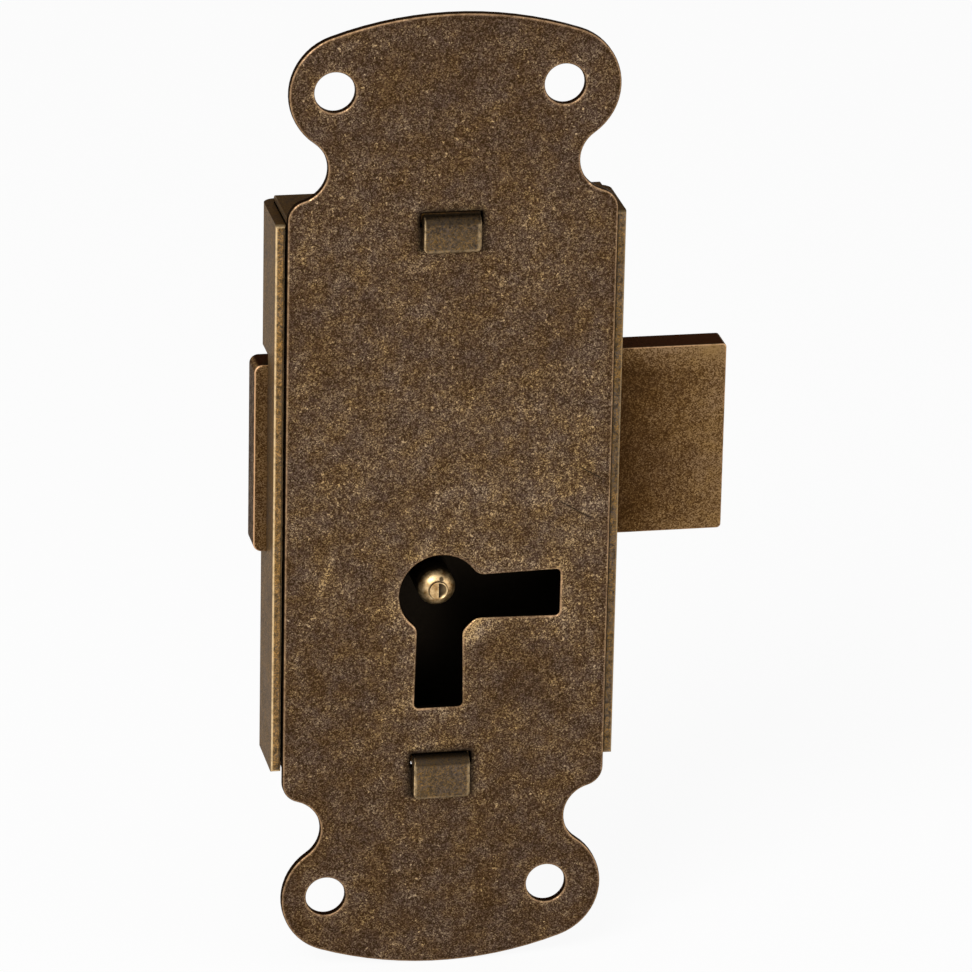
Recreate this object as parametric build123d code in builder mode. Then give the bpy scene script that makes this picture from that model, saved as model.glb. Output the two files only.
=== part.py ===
from build123d import *
import os

# Surface-mounted cabinet lock: a shaped cover plate, a folded sheet case, a sliding
# through bolt and two sprung levers. Millimetres.
# X runs along the bolt, Y from the key's side into the case, Z up the plate.
# The origin is the middle of the four screw holes, on the plate's rear face.

# Cover plate
plate_thickness = 0.8
plate_width = 30.1
plate_height = 92.0
plate_x = 0.5            # the outline is blanked a little off the holes
plate_z = -0.2
lobe_radius = 5.5        # round ears that carry the screws
crown_rise = 7.1         # from the ear centres to the plate's bowed end
waist_width = 22.9       # across the notches under the ears
notch_radius = 3.0
shoulder_radius = 1.9
plate_edge_break = 0.22  # front edge rolled over by the blanking tool
screw_inset = 4.65       # from the plate's side to the screw
screw_hole_diameter = 3.7

# Keyhole
key_x = -0.1
key_z = -9.4
keyhole_diameter = 7.6
keyhole_reach = 11.15    # from the key axis to the end of either leg
leg_root_width = 4.0
leg_end_width = 4.5
side_leg_drop = 0.4      # the sideways leg lies a little under the key axis
leg_corner_radius = 0.4
keyhole_blend_radius = 1.2
keyhole_corner_cut = 1.4   # off the metal corner between the two legs

# Folded case
sheet = 0.9
plate_side_gap = 0.05
case_top = 27.1
case_bottom = -26.2
wall_top_step = 0.6      # the side walls stop short of the top wall's face
wall_bottom_step = 0.3   # and stand past the bottom wall's face
bend_inner_radius = 0.3
wall_seam = 0.15
wall_corner_radius = 0.5
wall_edge_round = 0.25

# Clinched tabs that hold the plate on the case
tab_width = 5.25
tab_corner_radius = 0.5
tab_edge_round = 0.2
tab_slot_gap = 0.15      # above and below the tab
tab_slot_side_gap = 0.15
top_tab_x = 0.3
top_tab_length = 3.35
bottom_tab_x = 0.2
bottom_tab_length = 4.0

# Bolt
bolt_length = 43.8
bolt_height = 18.1
bolt_thickness = 3.0
bolt_bottom = -6.1
bolt_travel = 9.4
bolt_gap = 0.1
bolt_lift_room = 1.0
head_corner_radius = 0.4
tail_corner_radius = 0.8
bolt_edge_round = 0.2
key_bit_radius = 10.6
key_bit_thickness = 3.0
key_bit_gap = 0.5
talon_corner_radius = 0.8

# Guide stud
stud_z = 4.6
stud_diameter = 3.2
stud_head_diameter = 5.4
stud_head_thickness = 0.9
slide_gap = 0.05

# Key pin
pin_diameter = 3.5
pin_tip_depth = 0.05
pin_dome_height = 1.1
nib_diameter = 1.7
nib_height = 0.2

# Rivet ends in the back sheet
rivet_diameter = 2.4
rivet_head_diameter = 3.8
rivet_head_height = 0.3
rivet_head_chamfer = 0.2
rivet_gap = 0.01

# Levers
lever_thickness = 1.1
lever_gap = 0.1
boss_wall_gap = 1.0      # from the case's left wall to the levers' boss
pivot_diameter = 3.2
pivot_collar_diameter = 5.2
pivot_clear = 0.35       # from the bolt's upper edge to the collar
washer_thickness = 0.35
boss_diameter = 6.8
stump_width = 2.8
stump_height = 3.0
stump_x = 9.9
stump_below_edge = 0.9   # from the bolt's upper edge down to the stump
stump_neck_diameter = 2.2
stump_play = 1.4
tooth_depth = 0.35       # how far the lever's tooth reaches over the stump
pocket_room = 0.2
window_room = 0.3
window_drop = 2.4        # room under the stump when the lever is lifted
lever_rim = 2.0
belly_radii = {"front": 8.6, "rear": 8.2}
belly_width = 7.0
lever_corner_radius = 1.0
gate_corner_radius = 0.15

# Lever springs
spring_thickness = 0.35
spring_width = 0.9
spring_slit_x = -4.0
spring_slit_depth = 2.0
spring_knee_rise = 1.6
spring_bend_radius = 1.5
spring_touch_x = 8.0     # where the leaf meets the top wall
spring_pad_length = 2.0

# Places that follow from the sizes above
lobe_spacing = plate_height - 2 * crown_rise
screw_spacing_x = plate_width - 2 * screw_inset
screw_spacing_z = lobe_spacing
inner_width = plate_width + 2 * plate_side_gap
case_width = inner_width + 2 * sheet
case_x = plate_x
bend_outer_radius = bend_inner_radius + sheet
side_wall_top = case_top - wall_top_step
side_wall_bottom = case_bottom - wall_bottom_step
side_wall_height = side_wall_top - side_wall_bottom
side_wall_z = (side_wall_top + side_wall_bottom) / 2
washer_back = slide_gap + washer_thickness
lever_stack_front = washer_back + slide_gap
front_lever_back = lever_stack_front + lever_thickness
rear_lever_back = front_lever_back + lever_gap + lever_thickness
lever_depths = {"front": front_lever_back, "rear": rear_lever_back}
stud_head_front = rear_lever_back + lever_gap
stud_head_back = stud_head_front + stud_head_thickness
bolt_front = stud_head_back + slide_gap
bolt_back = bolt_front + bolt_thickness
back_inside = bolt_back + bolt_gap
case_depth = back_inside + sheet
bolt_top = bolt_bottom + bolt_height
bolt_x = case_x + bolt_travel / 2
talon_top = key_z + key_bit_radius + key_bit_gap
bit_chord = 2 * (key_bit_radius**2 - (bolt_bottom - key_z) ** 2) ** 0.5
talon_width = bit_chord - bolt_travel + key_bit_thickness
pivot_x = case_x - inner_width / 2 + boss_wall_gap + boss_diameter / 2
pivot_z = bolt_top + pivot_clear + pivot_collar_diameter / 2
stump_top = bolt_top - stump_below_edge
stump_z = stump_top - stump_height / 2
window_top = stump_top + pocket_room
window_bottom = stump_top - stump_height - window_drop
window_right = stump_x + stump_width / 2 + window_room
window_left = stump_x - bolt_travel - stump_width / 2 - window_room - stump_play
tooth_right = stump_x - stump_width / 2 - stump_play
tooth_left = tooth_right - (bolt_travel - stump_width - 2 * stump_play)
lever_top = window_top + lever_rim
lever_back_top = pivot_z + boss_diameter / 2


def upright(depth, x=0.0, z=0.0):
    """A plane seen from the key's side, at a depth behind the plate's rear face."""
    return Plane(origin=(x, depth, z), x_dir=(1, 0, 0), z_dir=(0, -1, 0))


def turning_plane(x, z):
    """The plane of a turned part's half profile: radius along X, length along Y."""
    return Plane(origin=(x, 0, z), x_dir=(1, 0, 0), z_dir=(0, 0, 1))


def turning_axis(x, z):
    return Axis((x, 0, z), (0, 1, 0))


def arc_about(centre, start, end):
    """The short arc about a centre, from one of its points to another."""
    middle = (start - centre) + (end - centre)
    radius = (start - centre).length
    ThreePointArc(start, centre + middle.normalized() * radius, end)


def plate_outline():
    """A quarter of the plate's outline in tangent arcs, mirrored both ways."""
    half_width = plate_width / 2
    half_height = plate_height / 2
    lobe = Vector(half_width - lobe_radius, lobe_spacing / 2)
    notch_x = waist_width / 2 + notch_radius
    notch_drop = ((lobe_radius + notch_radius) ** 2 - (notch_x - lobe.X) ** 2) ** 0.5
    notch = Vector(notch_x, lobe.Y - notch_drop)
    shoulder_x = half_width - shoulder_radius
    shoulder_drop = ((notch_radius + shoulder_radius) ** 2 - (notch_x - shoulder_x) ** 2) ** 0.5
    shoulder = Vector(shoulder_x, notch.Y - shoulder_drop)
    rise = half_height - lobe.Y
    crown_radius = (lobe.X**2 + rise**2 - lobe_radius**2) / (2 * (rise - lobe_radius))
    crown = Vector(0, half_height - crown_radius)

    side = Vector(half_width, 0)
    shoulder_start = Vector(half_width, shoulder.Y)
    notch_start = shoulder + (notch - shoulder).normalized() * shoulder_radius
    lobe_start = notch + (lobe - notch).normalized() * notch_radius
    crown_start = lobe + (lobe - crown).normalized() * lobe_radius
    apex = Vector(0, half_height)
    with BuildLine() as outline:
        Line(side, shoulder_start)
        arc_about(shoulder, shoulder_start, notch_start)
        arc_about(notch, notch_start, lobe_start)
        arc_about(lobe, lobe_start, crown_start)
        arc_about(crown, crown_start, apex)
        mirror(about=Plane.YZ)
        mirror(about=Plane.XZ)
    return outline


def keyhole_leg():
    """One flared leg from the key axis along local -Y, its end corners rounded."""
    with BuildSketch() as leg:
        with BuildLine():
            Polyline(
                (-leg_root_width / 2, 0),
                (-leg_end_width / 2, -keyhole_reach),
                (leg_end_width / 2, -keyhole_reach),
                (leg_root_width / 2, 0),
                close=True,
            )
        make_face()
        ends = leg.vertices().group_by(Axis.Y)[0]
        fillet(ends, leg_corner_radius)
    return leg


def keyhole():
    """A round hole with a leg downwards and a leg to the side, its inner corners blended."""
    corner = Vector(leg_root_width / 2, -side_leg_drop - leg_root_width / 2)
    with BuildSketch() as hole:
        Circle(keyhole_diameter / 2)
        with BuildLine():
            Polyline(
                (0, 0), corner - (0, keyhole_corner_cut), corner + (keyhole_corner_cut, 0), close=True
            )
        make_face()
        add(keyhole_leg().sketch)
        with Locations(Location((0, -side_leg_drop), 90)):
            add(keyhole_leg().sketch)
        offset(amount=keyhole_blend_radius)
        offset(amount=-keyhole_blend_radius)
    return hole


# Cover plate: blanked and pierced sheet, front edge broken all round
plate_front = -plate_thickness
tabs = {
    "top": {"x": top_tab_x, "outer": case_top, "length": top_tab_length},
    "bottom": {"x": bottom_tab_x, "outer": case_bottom + sheet, "length": bottom_tab_length},
}
with BuildPart() as cover_plate:
    with BuildSketch(upright(0, plate_x, plate_z)):
        add(plate_outline().line)
        make_face()
    extrude(amount=plate_thickness)
    with BuildSketch(upright(0)):
        with GridLocations(screw_spacing_x, screw_spacing_z, 2, 2):
            Circle(screw_hole_diameter / 2)
    extrude(amount=plate_thickness, mode=Mode.SUBTRACT)
    with BuildSketch(upright(0, key_x, key_z)):
        add(keyhole().sketch)
    extrude(amount=plate_thickness, mode=Mode.SUBTRACT)
    for tab in tabs.values():
        with BuildSketch(upright(0, tab["x"], tab["outer"] - sheet / 2)):
            Rectangle(tab_width + 2 * tab_slot_side_gap, sheet + 2 * tab_slot_gap)
        extrude(amount=plate_thickness, mode=Mode.SUBTRACT)
    front_face = cover_plate.faces().sort_by(Axis.Y)[0]
    chamfer(front_face.outer_wire().edges(), plate_edge_break)
cover_plate.part.label = "cover_plate"


def channel(width):
    """The section of a sheet folded up along both sides: local X across, local Y deep."""
    half = width / 2
    inside = half - sheet
    with BuildSketch() as section:
        with BuildLine():
            outer = FilletPolyline(
                (-half, 0), (-half, case_depth), (half, case_depth), (half, 0),
                radius=bend_outer_radius,
            )
            inner = FilletPolyline(
                (inside, 0), (inside, back_inside), (-inside, back_inside), (-inside, 0),
                radius=bend_inner_radius,
            )
            Line(outer @ 1, inner @ 0)
            Line(inner @ 1, outer @ 0)
        make_face()
        fillet(section.vertices().group_by(Axis.Y)[0], wall_edge_round)
    return section


def tab_section(outer, length):
    """A tab's side view: out of the wall, through the plate and folded down over it."""
    tab_front = plate_thickness + sheet
    with BuildSketch() as section:
        with BuildLine():
            Polyline(
                (0, outer), (-tab_front, outer), (-tab_front, outer - length),
                (-plate_thickness, outer - length), (-plate_thickness, outer - sheet),
                (0, outer - sheet),
                close=True,
            )
        make_face()
        bend = section.vertices().group_by(Axis.X)[0].sort_by(Axis.Y)[-1]
        fillet(bend, sheet)
    return section


def clinched_tab(x, outer, length):
    """A tab with rounded tip corners and a soft edge all round its face."""
    side_plane = Plane(origin=(x - tab_width / 2, 0, 0), x_dir=(0, 1, 0), z_dir=(1, 0, 0))
    with BuildPart() as tab:
        with BuildSketch(side_plane):
            add(tab_section(outer, length).sketch)
        extrude(amount=tab_width)
        tip_corners = tab.edges().filter_by(Axis.Y).group_by(Axis.Z)[0]
        fillet(tip_corners, tab_corner_radius)
        tab_face = tab.faces().filter_by(Axis.Y).sort_by(Axis.Y)[0]
        bend_start = tab_face.edges().filter_by(Axis.X).sort_by(Axis.Z)[-1:]
        fillet(tab_face.edges() - bend_start, tab_edge_round)
    return tab


# Lock case: one blank, four walls folded up, open seams at the corners
end_wall_span = inner_width - 2 * wall_seam
case_height = case_top - case_bottom
case_z = (case_top + case_bottom) / 2
slot_bottom = bolt_bottom - bolt_gap
slot_top = bolt_top + bolt_lift_room
back_rivets = {
    "key_pin": (key_x, key_z),
    "guide_stud": (case_x, stud_z),
    "lever_pivot": (pivot_x, pivot_z),
}
with BuildPart() as lock_case:
    with BuildSketch(Plane((case_x, 0, side_wall_bottom))):
        add(channel(case_width).sketch)
    extrude(amount=side_wall_height)
    end_plane = Plane(
        origin=(case_x + end_wall_span / 2, 0, case_z), x_dir=(0, 0, 1), z_dir=(-1, 0, 0)
    )
    with BuildSketch(end_plane):
        add(channel(case_height).sketch)
    extrude(amount=end_wall_span)
    # bolt slots in both side walls, open through the fold
    with BuildSketch(upright(case_depth, case_x, (slot_top + slot_bottom) / 2)):
        with GridLocations(case_width - sheet - bend_inner_radius, 0, 2, 1):
            Rectangle(sheet + bend_inner_radius, slot_top - slot_bottom)
    extrude(amount=case_depth - bolt_front + bolt_gap, mode=Mode.SUBTRACT)
    # holes for the parts riveted into the back
    with BuildSketch(upright(case_depth)):
        with Locations(*back_rivets.values()):
            Circle(rivet_diameter / 2)
    extrude(amount=sheet, mode=Mode.SUBTRACT)
    # rounded front corners of the side walls
    for side in (-1, 1):
        wall_x = case_x + side * (case_width - sheet) / 2
        wall_plane = Plane(origin=(wall_x, 0, side_wall_z), x_dir=(0, 0, 1), z_dir=(1, 0, 0))
        with BuildSketch(wall_plane):
            Rectangle(side_wall_height, 2 * wall_corner_radius)
            RectangleRounded(
                side_wall_height, 4 * wall_corner_radius, wall_corner_radius,
                align=(Align.CENTER, Align.MAX), mode=Mode.SUBTRACT,
            )
        extrude(amount=sheet / 2, both=True, mode=Mode.SUBTRACT)
    for tab in tabs.values():
        add(clinched_tab(**tab).part)
lock_case.part.label = "lock_case"

# Bolt: blanked plate that slides through both walls, with the talon for the key below
slide_slot_height = stud_diameter + 2 * slide_gap
with BuildPart() as bolt:
    with BuildSketch(upright(bolt_back, bolt_x, bolt_bottom + bolt_height / 2)) as blank:
        Rectangle(bolt_length, bolt_height)
        fillet(blank.vertices().group_by(Axis.X)[-1], head_corner_radius)
        fillet(blank.vertices().group_by(Axis.X)[0], tail_corner_radius)
    extrude(amount=bolt_thickness)
    fillet(bolt.faces().sort_by(Axis.Y)[0].edges(), bolt_edge_round)
    talon_height = talon_top - bolt_bottom
    talon_centre = (key_x + bolt_travel / 2, talon_top - talon_height / 2)
    with BuildSketch(upright(bolt_back, *talon_centre)) as talon:
        Rectangle(talon_width, talon_height)
        fillet(talon.vertices().group_by(Axis.Y)[-1], talon_corner_radius)
    extrude(amount=bolt_thickness, mode=Mode.SUBTRACT)
    with BuildSketch(upright(bolt_back, bolt_x, stud_z)):
        SlotCenterToCenter(bolt_travel, slide_slot_height)
    extrude(amount=bolt_thickness, mode=Mode.SUBTRACT)
    with BuildSketch(upright(bolt_back, stump_x, stump_z)):
        Circle(stump_neck_diameter / 2)
    extrude(amount=bolt_thickness, mode=Mode.SUBTRACT)
bolt.part.label = "bolt"

# Bolt stump: square stop riveted into the bolt, standing through both levers
stump_front = lever_stack_front / 2
with BuildPart() as bolt_stump:
    with BuildSketch(upright(bolt_front, stump_x, stump_z)):
        RectangleRounded(stump_width, stump_height, 0.2)
    extrude(amount=bolt_front - stump_front)
    with BuildSketch(upright(bolt_back, stump_x, stump_z)):
        Circle(stump_neck_diameter / 2 - rivet_gap)
    extrude(amount=bolt_thickness)
bolt_stump.part.label = "bolt_stump"


def rivet_end():
    """The stretch of a half profile that goes through the back sheet and is peened."""
    neck = rivet_diameter / 2 - rivet_gap
    head = rivet_head_diameter / 2
    peened = case_depth + rivet_head_height
    Polyline(
        (neck, back_inside), (neck, case_depth), (head, case_depth),
        (head, peened - rivet_head_chamfer), (head - rivet_head_chamfer, peened), (0, peened),
    )


# Key pin: turned brass, domed tip with a parting nib, riveted into the back
with BuildPart() as key_pin:
    pin_radius = pin_diameter / 2
    nib_radius = nib_diameter / 2
    shoulder_depth = pin_tip_depth + pin_dome_height
    dome_radius = (pin_radius**2 + pin_dome_height**2) / (2 * pin_dome_height)
    nib_base = pin_tip_depth + dome_radius - (dome_radius**2 - nib_radius**2) ** 0.5
    with BuildSketch(turning_plane(key_x, key_z)):
        with BuildLine():
            rivet_end()
            Line((0, case_depth + rivet_head_height), (0, nib_base - nib_height))
            Polyline((0, nib_base - nib_height), (nib_radius, nib_base - nib_height), (nib_radius, nib_base))
            RadiusArc((nib_radius, nib_base), (pin_radius, shoulder_depth), -dome_radius)
            Polyline(
                (pin_radius, shoulder_depth), (pin_radius, back_inside),
                (rivet_diameter / 2 - rivet_gap, back_inside),
            )
        make_face()
    revolve(axis=turning_axis(key_x, key_z))
key_pin.part.label = "key_pin"

# Guide stud: headed stud that holds the bolt to the back and stops its travel
with BuildPart() as guide_stud:
    with BuildSketch(turning_plane(case_x, stud_z)):
        with BuildLine():
            rivet_end()
            Polyline(
                (0, case_depth + rivet_head_height),
                (0, stud_head_front),
                (stud_head_diameter / 2, stud_head_front),
                (stud_head_diameter / 2, stud_head_back),
                (stud_diameter / 2, stud_head_back),
                (stud_diameter / 2, back_inside),
                (rivet_diameter / 2 - rivet_gap, back_inside),
            )
        make_face()
    revolve(axis=turning_axis(case_x, stud_z))
guide_stud.part.label = "guide_stud"

# Lever pivot: collared spindle above the bolt's path
collar_front = rear_lever_back + lever_gap / 2
with BuildPart() as lever_pivot:
    with BuildSketch(turning_plane(pivot_x, pivot_z)):
        with BuildLine():
            rivet_end()
            Polyline(
                (0, case_depth + rivet_head_height),
                (0, slide_gap),
                (pivot_diameter / 2, slide_gap),
                (pivot_diameter / 2, collar_front),
                (pivot_collar_diameter / 2, collar_front),
                (pivot_collar_diameter / 2, back_inside),
                (rivet_diameter / 2 - rivet_gap, back_inside),
            )
        make_face()
    revolve(axis=turning_axis(pivot_x, pivot_z))
lever_pivot.part.label = "lever_pivot"

# Washer between the levers and the plate, a light press on the spindle
with BuildPart() as pivot_washer:
    with BuildSketch(upright(washer_back, pivot_x, pivot_z)):
        Circle(boss_diameter / 2 - lever_gap)
        Circle(pivot_diameter / 2 + rivet_gap, mode=Mode.SUBTRACT)
    extrude(amount=washer_thickness)
pivot_washer.part.label = "pivot_washer"


def lever(name):
    """A pressed lever: boss on the pivot, gate for the stump, belly for the key."""
    belly = key_z + belly_radii[name]
    rim_bottom = window_bottom - lever_rim
    right = window_right + lever_rim
    left = window_left - lever_rim
    half_belly = belly_width / 2
    outline = [
        (pivot_x, lever_back_top),
        (spring_slit_x + lever_rim, lever_back_top),
        (spring_slit_x + 2 * lever_rim, lever_top),
        (right, lever_top),
        (right, window_bottom),
        (window_right, rim_bottom),
        (key_x + belly_width, rim_bottom),
        (key_x + half_belly, belly),
        (key_x - half_belly, belly),
        (left, rim_bottom),
        (pivot_x, pivot_z - boss_diameter / 2),
    ]
    gate = [
        (window_left, window_bottom),
        (window_left, window_top),
        (tooth_left, window_top),
        (tooth_left, stump_top - tooth_depth),
        (tooth_right, stump_top - tooth_depth),
        (tooth_right, window_top),
        (window_right, window_top),
        (window_right, window_bottom),
    ]
    slit_centre = (spring_slit_x, lever_back_top - spring_slit_depth / 2)
    with BuildPart() as part:
        with BuildSketch(upright(lever_depths[name])):
            with BuildLine():
                FilletPolyline(*outline, close=True, radius=lever_corner_radius)
            make_face()
            with Locations((pivot_x, pivot_z)):
                Circle(boss_diameter / 2)
                Circle(pivot_diameter / 2 + slide_gap, mode=Mode.SUBTRACT)
            with Locations(slit_centre):
                Rectangle(spring_thickness, spring_slit_depth, mode=Mode.SUBTRACT)
        extrude(amount=lever_thickness)
        with BuildSketch(upright(lever_depths[name])):
            with BuildLine():
                FilletPolyline(*gate, close=True, radius=gate_corner_radius)
            make_face()
        extrude(amount=lever_thickness, mode=Mode.SUBTRACT)
    part.part.label = f"lever_{name}"
    return part


def leaf_spring(name):
    """A leaf caulked into the lever's back edge, bearing on the case's top wall."""
    wall = case_top - sheet - spring_thickness / 2
    side_gap = (lever_thickness - spring_width) / 2
    with BuildPart() as part:
        with BuildSketch(upright(lever_depths[name] - side_gap)):
            with BuildLine() as leaf:
                FilletPolyline(
                    (spring_slit_x, lever_back_top - spring_slit_depth),
                    (spring_slit_x, lever_back_top + spring_knee_rise),
                    (spring_touch_x, wall),
                    (spring_touch_x + spring_pad_length, wall),
                    radius=spring_bend_radius,
                )
            trace(leaf.line.edges(), line_width=spring_thickness)
        extrude(amount=spring_width)
    part.part.label = f"lever_spring_{name}"
    return part


levers = [lever(name) for name in lever_depths]
springs = [leaf_spring(name) for name in lever_depths]

pieces = [
    cover_plate, lock_case, bolt, bolt_stump, key_pin, guide_stud,
    lever_pivot, pivot_washer, *levers, *springs,
]
os.makedirs("parts", exist_ok=True)
for piece in pieces:
    export_step(piece.part, f"parts/{piece.part.label}.step")
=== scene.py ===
# A small cabinet lock: a shaped cover plate clinched onto a folded case, a through bolt and
# two sprung levers, all brass-plated steel with an antique brown finish.
import math

import bmesh
import bpy
import numpy as np
from mathutils import Matrix, Vector
from mathutils.geometry import delaunay_2d_cdt


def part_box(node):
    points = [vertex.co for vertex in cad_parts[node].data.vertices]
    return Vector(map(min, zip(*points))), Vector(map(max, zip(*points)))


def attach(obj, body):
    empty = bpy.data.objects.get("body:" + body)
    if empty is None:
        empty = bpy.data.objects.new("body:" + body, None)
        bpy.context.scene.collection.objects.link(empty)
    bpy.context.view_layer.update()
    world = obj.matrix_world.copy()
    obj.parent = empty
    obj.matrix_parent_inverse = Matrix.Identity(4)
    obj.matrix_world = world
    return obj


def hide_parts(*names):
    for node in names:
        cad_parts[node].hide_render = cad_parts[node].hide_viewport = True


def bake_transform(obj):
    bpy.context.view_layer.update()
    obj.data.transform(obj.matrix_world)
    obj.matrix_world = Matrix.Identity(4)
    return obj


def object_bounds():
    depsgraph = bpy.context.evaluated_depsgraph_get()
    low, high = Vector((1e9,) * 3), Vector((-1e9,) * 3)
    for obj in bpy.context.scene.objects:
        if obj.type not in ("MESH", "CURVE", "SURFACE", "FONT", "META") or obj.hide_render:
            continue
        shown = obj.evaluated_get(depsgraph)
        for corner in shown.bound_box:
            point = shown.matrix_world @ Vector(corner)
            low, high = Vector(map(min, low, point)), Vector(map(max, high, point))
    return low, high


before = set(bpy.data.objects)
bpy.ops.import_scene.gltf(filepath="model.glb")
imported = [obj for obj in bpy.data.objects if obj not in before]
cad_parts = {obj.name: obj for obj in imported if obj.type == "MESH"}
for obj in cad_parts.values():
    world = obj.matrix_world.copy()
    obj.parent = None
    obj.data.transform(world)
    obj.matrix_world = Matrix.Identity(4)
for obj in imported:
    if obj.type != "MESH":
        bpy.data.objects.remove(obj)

mm = 0.001
scene = bpy.context.scene
cad_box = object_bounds()


# Lock case: one steel blank folded up on four sides, brass plated and antiqued. Its two tabs
# come through the cover plate and are hammered down over it, which rubs their corners bright.
def linear(hex_colour):
    """An sRGB hex colour as linear RGBA: each channel goes through the sRGB curve."""
    channels = [int(hex_colour[at:at + 2], 16) / 255 for at in (1, 3, 5)]
    return [c / 12.92 if c <= 0.04045 else ((c + 0.055) / 1.055) ** 2.4 for c in channels] + [1]


def add_node(tree, kind, inputs=(), **options):
    """One shader node with its options set, each input given a value or a link.

    A list fills the sockets in their order, and a node stands for its first output.
    """
    node = tree.nodes.new("ShaderNode" + kind)
    for option, value in options.items():
        setattr(node, option, value)
    named = inputs if isinstance(inputs, dict) else dict(enumerate(inputs))
    for socket, value in named.items():
        if isinstance(value, bpy.types.Node):
            value = value.outputs[0]
        if isinstance(value, bpy.types.NodeSocket):
            tree.links.new(value, node.inputs[socket])
        else:
            node.inputs[socket].default_value = value
    return node


def empty_material(name):
    """A new material with no nodes yet, and its node tree."""
    material = bpy.data.materials.new(name)
    material.use_nodes = True
    material.node_tree.nodes.clear()
    return material, material.node_tree


def antiqued(name, tones, worn, wear, contrast=1.0, cool="#f4f5ff"):
    """Brass plate darkened in liver of sulphur, then brushed back and lacquered.

    The film's tone follows a sum: grains 0.1 mm wide where the brush has cut it down to
    brass, and clouds from 3 mm wide down to the grains. wear(tree, place) gives three masks,
    which carry painted light and shade as well as wear: rubbed lightens the film, for wear
    and for painted light; bare shows worn metal and painted highlights; dark is heavy oxide
    and painted shade. Patches of the film take the cool tint, and the rest a warm one.
    """
    material, tree = empty_material(name)
    place = add_node(tree, "TexCoord").outputs["Object"]
    rubbed, bare, dark = wear(tree, place)

    grains = add_node(tree, "TexVoronoi", {"Vector": place, "Scale": 1 / (0.1 * mm)})
    grain = add_node(tree, "SeparateColor", [grains.outputs["Color"]])
    clouds = add_node(tree, "TexNoise", {
        "Vector": place, "Scale": 1 / (3 * mm), "Detail": 4.5, "Roughness": 0.95})
    grain_share, cloud_share = 0.75 * contrast, 0.8 * contrast
    cloudy = add_node(tree, "Math", [
        clouds, cloud_share, 0.5 - (grain_share + cloud_share) / 2], operation="MULTIPLY_ADD")
    height = add_node(tree, "Math", [grain, grain_share, cloudy], operation="MULTIPLY_ADD")
    lifted = add_node(tree, "Math", [rubbed, 0.2, height], operation="MULTIPLY_ADD")
    film = add_node(tree, "ValToRGB", [lifted])
    stops = film.color_ramp.elements
    for index, (position, tone) in enumerate(tones):
        stop = stops[index] if index < 2 else stops.new(position)
        stop.position = position
        stop.color = linear(tone)

    # the film runs warmer and cooler over patches a few millimetres wide
    patches = add_node(tree, "TexNoise", {
        "Vector": place, "Scale": 1 / (2.4 * mm), "Detail": 3, "Roughness": 0.7})
    hue = add_node(tree, "MapRange", [patches, 0.35, 0.65])
    warmth = add_node(tree, "Mix", {
        "Factor": hue, "A": linear("#fff5d8"), "B": linear(cool)}, data_type="RGBA")
    tinted = add_node(tree, "Mix", {
        "Factor": 1.0, "A": film, "B": warmth.outputs["Result"]},
        data_type="RGBA", blend_type="MULTIPLY")
    metal = add_node(tree, "Mix", {
        "Factor": bare, "A": tinted.outputs["Result"], "B": linear(worn)}, data_type="RGBA")
    # this colour stands for heavy oxide, and for painted shade where the dark mask carries it
    oxide = add_node(tree, "Mix", {
        "Factor": dark, "A": metal.outputs["Result"], "B": linear("#1d1812")},
        data_type="RGBA")

    # the lacquer has flaked off the oxide, and its clear shine with it
    metal_share = add_node(tree, "MapRange", [dark, 0, 1, 0.75, 1])
    shine = add_node(tree, "MapRange", [lifted, 0.3, 0.9, 0.54, 0.32])
    relief = add_node(tree, "Bump", {
        "Height": clouds, "Strength": 0.3, "Distance": 0.06 * mm})
    shader = add_node(tree, "BsdfPrincipled", {
        "Base Color": oxide.outputs["Result"], "Roughness": shine, "Metallic": metal_share,
        "Specular IOR Level": 0.2, "Specular Tint": (0.45, 0.4, 0.35, 1), "Normal": relief})
    add_node(tree, "OutputMaterial", {"Surface": shader})
    return material


def spots(tree, place, size, start, stop, low=0, high=1):
    """Blots of one size: low where a noise is before start, and high where it is past stop."""
    noise = add_node(tree, "TexNoise", {
        "Vector": place, "Scale": 1 / size, "Detail": 3, "Roughness": 0.65})
    return add_node(tree, "MapRange", [noise, start, stop, low, high])


def facing(tree):
    """The surface normal's X, Y and Z in the object's frame."""
    normal = add_node(tree, "TexCoord").outputs["Normal"]
    return add_node(tree, "SeparateXYZ", [normal]).outputs


def front_rims(tree):
    """1 on the rounds between a flat that faces the key's side (-Y) and its neighbours."""
    along_y = facing(tree)["Y"]
    leaning = add_node(tree, "MapRange", [along_y, -0.12, -0.35])
    short_of_flat = add_node(tree, "MapRange", [along_y, -0.97, -0.8])
    return add_node(tree, "Math", [leaning, short_of_flat], operation="MULTIPLY")


def edge_bands(tree, along, bands):
    """The sum of bands of wear, each from 0 at start to its strength at stop on one axis."""
    wear = 0
    for axis, start, stop, strength in bands:
        band = add_node(tree, "MapRange", [along[axis], start, stop, 0, strength])
        wear = add_node(tree, "Math", [wear, band], operation="ADD")
    return wear


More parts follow.
